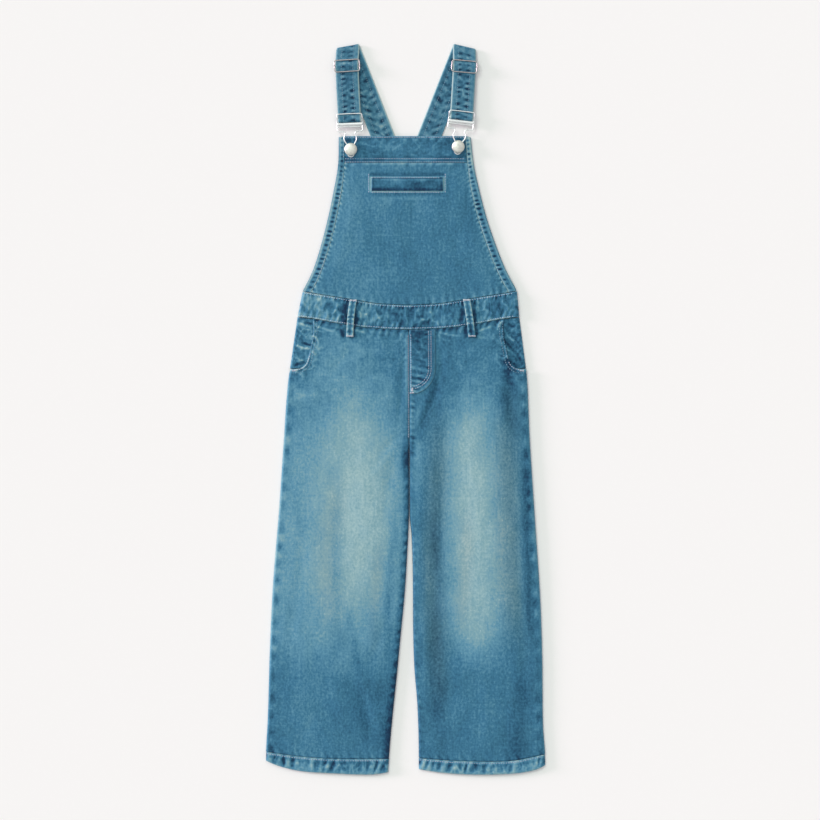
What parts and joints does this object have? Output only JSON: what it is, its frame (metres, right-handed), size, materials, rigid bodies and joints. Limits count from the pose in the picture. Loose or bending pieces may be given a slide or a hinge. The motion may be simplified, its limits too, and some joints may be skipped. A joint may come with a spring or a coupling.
{
  "type": "kids dungarees",
  "caption": "Child's denim dungarees laid flat: bib with welt, shaped waistband, wide cropped legs, and straps folded over with wire sliders, keyhole clasps and tack buttons.",
  "frame": {"origin": "under the middle of the garment's box, on the surface it lies on", "axes": "+X to the right as seen from the front, +Y up the garment from hems to straps, +Z out of the front"},
  "size_m": [0.3546, 0.9279, 0.0095],
  "materials": {
    "denim": "washed blue stretch denim, faded on thighs and knees",
    "thread": "pale lilac-grey topstitching thread",
    "nickel": "bright nickel plate"
  },
  "bodies": {
    "root": {"back_bib": "denim", "back_leg_left": "denim", "back_leg_right": "denim", "back_waistband": "denim", "belt_loop_left": "denim", "belt_loop_right": "denim", "bib": "denim", "bib_hem_left": "denim", "bib_hem_right": "denim", "bib_top_band": "denim", "bib_welt": "denim", "fly": "denim", "front_leg_left": "denim", "front_leg_right": "denim", "front_waistband": "denim", "leg_hem_left": "denim", "leg_hem_right": "denim", "pocket_facing_left": "denim", "pocket_facing_right": "denim", "strap_left": "denim", "strap_right": "denim", "buckle_left": "nickel", "buckle_right": "nickel", "button_left": "nickel", "button_right": "nickel", "slider_left": "nickel", "slider_right": "nickel"}
  },
  "joints": []
}
